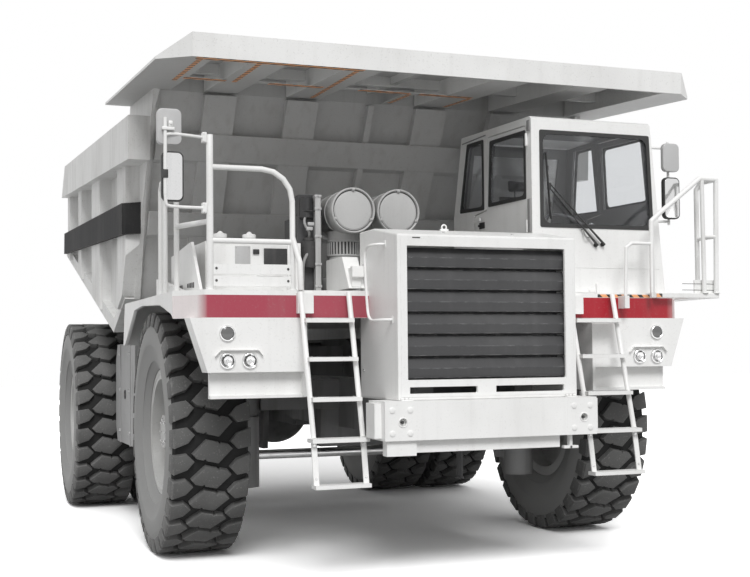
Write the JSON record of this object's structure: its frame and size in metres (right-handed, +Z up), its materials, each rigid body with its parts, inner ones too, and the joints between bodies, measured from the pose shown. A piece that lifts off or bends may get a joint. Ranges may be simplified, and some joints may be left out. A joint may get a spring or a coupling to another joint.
{
  "type": "rigid mining dump truck",
  "caption": "Rigid two-axle mining dump truck with a tilting rock body, cab beside a radiator housing, steered front wheels and twin rear wheels.",
  "frame": {"origin": "centre of the overall box on the ground", "axes": "+Z up, the front faces -Y, +X towards the truck's left side"},
  "size_m": [5.13, 9.11, 4.4713],
  "materials": {
    "white_paint": "satin",
    "grey_paint": "satin",
    "dark_paint": "satin",
    "engine_iron": "rough",
    "bright_steel": "satin",
    "rim_paint": "satin",
    "tyre_rubber": "matt",
    "window_glass": "gloss",
    "lamp_glass": "gloss",
    "tail_red": "gloss",
    "cab_plastic": "matt",
    "mirror_black": "satin"
  },
  "bodies": {
    "chassis": {"frame_rails": "grey_paint", "front_axle": "grey_paint", "rear_axle": "grey_paint", "engine_block": "engine_iron", "front_bumper": "white_paint", "radiator_housing": "white_paint", "grille_louvres": "dark_paint", "deck_right": "white_paint", "deck_left": "white_paint", "deck_centre": "white_paint", "headlamps": "lamp_glass", "ladder_right": "white_paint", "ladder_left": "white_paint", "handrail_right": "white_paint", "platform_left": "white_paint", "handrail_left": "white_paint", "mirrors_right": "mirror_black", "mirrors_left": "mirror_black", "air_cleaners": "grey_paint", "deck_box": "white_paint", "service_unit": "dark_paint", "side_locker": "white_paint", "side_tank_right": "grey_paint", "side_tank_left": "grey_paint", "tail_lamps": "tail_red", "cab_shell": "white_paint", "cab_glass": "window_glass", "cab_fittings": "cab_plastic"},
    "knuckle_right": {"knuckle_right": "grey_paint"},
    "knuckle_left": {"knuckle_left": "grey_paint"},
    "tie_rod": {"tie_rod": "bright_steel"},
    "wheel_front_right": {"front_tyre_right": "tyre_rubber", "front_rim_right": "rim_paint"},
    "wheel_front_left": {"front_tyre_left": "tyre_rubber", "front_rim_left": "rim_paint"},
    "wheels_rear_right": {"rear_tyre_outer_right": "tyre_rubber", "rear_tyre_inner_right": "tyre_rubber", "rear_rims_right": "rim_paint"},
    "wheels_rear_left": {"rear_tyre_outer_left": "tyre_rubber", "rear_tyre_inner_left": "tyre_rubber", "rear_rims_left": "rim_paint"},
    "dump_body": {"body_floor": "white_paint", "body_front_wall": "white_paint", "body_side_right": "white_paint", "body_side_left": "white_paint", "side_bands": "dark_paint", "canopy": "white_paint"},
    "cab_door_right": {"door_right": "white_paint", "door_right_glass": "window_glass"},
    "cab_door_left": {"door_left": "white_paint", "door_left_glass": "window_glass"},
    "hoist_barrel_right": {"hoist_barrel_right": "grey_paint"},
    "hoist_tube_right": {"hoist_tube_right": "bright_steel"},
    "hoist_rod_right": {"hoist_rod_right": "bright_steel"},
    "hoist_barrel_left": {"hoist_barrel_left": "grey_paint"},
    "hoist_tube_left": {"hoist_tube_left": "bright_steel"},
    "hoist_rod_left": {"hoist_rod_left": "bright_steel"}
  },
  "joints": [
    {"name": "steer_right", "type": "hinge", "parent": "chassis", "child": "knuckle_right", "pos_m": [-1.4, -2.145, 1.075], "axis": [0, 0, 1], "range_deg": [-28, 28]},
    {"name": "front_wheel_spin_right", "type": "hinge", "parent": "knuckle_right", "child": "wheel_front_right", "pos_m": [-1.915, -2.145, 1.075], "axis": [1, 0, 0], "continuous": true},
    {"name": "rear_wheels_spin_right", "type": "hinge", "parent": "chassis", "child": "wheels_rear_right", "pos_m": [-2.215, 1.925, 1.075], "axis": [1, 0, 0], "continuous": true},
    {"name": "steer_left", "type": "hinge", "parent": "chassis", "child": "knuckle_left", "pos_m": [1.4, -2.145, 1.075], "axis": [0, 0, 1], "range_deg": [-28, 28]},
    {"name": "front_wheel_spin_left", "type": "hinge", "parent": "knuckle_left", "child": "wheel_front_left", "pos_m": [1.915, -2.145, 1.075], "axis": [1, 0, 0], "continuous": true},
    {"name": "rear_wheels_spin_left", "type": "hinge", "parent": "chassis", "child": "wheels_rear_left", "pos_m": [2.215, 1.925, 1.075], "axis": [1, 0, 0], "continuous": true},
    {"name": "tie_rod_shift", "type": "slide", "parent": "chassis", "child": "tie_rod", "axis": [1, 0, 0], "range_m": [-0.2, 0.2]},
    {"name": "body_tilt", "type": "hinge", "parent": "chassis", "child": "dump_body", "pos_m": [0, 3.155, 1.85], "axis": [-1, 0, 0], "range_deg": [0, 50]},
    {"name": "hoist_swing_right", "type": "hinge", "parent": "chassis", "child": "hoist_barrel_right", "pos_m": [-0.8, 0.455, 0.8], "axis": [-1, 0, 0], "range_deg": [-1, 4]},
    {"name": "hoist_stage_right", "type": "slide", "parent": "hoist_barrel_right", "child": "hoist_tube_right", "axis": [0, 0.4856, 0.8742], "range_m": [0, 0.84]},
    {"name": "hoist_rod_right", "type": "slide", "parent": "hoist_tube_right", "child": "hoist_rod_right", "axis": [0, 0.4856, 0.8742], "range_m": [0, 0.84]},
    {"name": "hoist_swing_left", "type": "hinge", "parent": "chassis", "child": "hoist_barrel_left", "pos_m": [0.8, 0.455, 0.8], "axis": [-1, 0, 0], "range_deg": [-1, 4]},
    {"name": "hoist_stage_left", "type": "slide", "parent": "hoist_barrel_left", "child": "hoist_tube_left", "axis": [0, 0.4856, 0.8742], "range_m": [0, 0.84]},
    {"name": "hoist_rod_left", "type": "slide", "parent": "hoist_tube_left", "child": "hoist_rod_left", "axis": [0, 0.4856, 0.8742], "range_m": [0, 0.84]},
    {"name": "door_right_hinge", "type": "hinge", "parent": "chassis", "child": "cab_door_right", "pos_m": [0.7775, -3.637, 3], "axis": [0, 0, 1], "range_deg": [0, 45]},
    {"name": "door_left_hinge", "type": "hinge", "parent": "chassis", "child": "cab_door_left", "pos_m": [2.0735, -3.637, 3], "axis": [0.0869, 0, -0.9962], "range_deg": [0, 80]}
  ],
  "couplings": [
    {"joint": "steer_left", "follows": "steer_right", "ratio": 1},
    {"joint": "tie_rod_shift", "follows": "steer_right", "m_per_rad": -0.38},
    {"joint": "hoist_swing_right", "follows": "body_tilt", "ratio": 0.0477},
    {"joint": "hoist_stage_right", "follows": "body_tilt", "m_per_rad": 0.95397},
    {"joint": "hoist_rod_right", "follows": "body_tilt", "m_per_rad": 0.95397},
    {"joint": "hoist_swing_left", "follows": "body_tilt", "ratio": 0.0477},
    {"joint": "hoist_stage_left", "follows": "body_tilt", "m_per_rad": 0.95397},
    {"joint": "hoist_rod_left", "follows": "body_tilt", "m_per_rad": 0.95397}
  ]
}
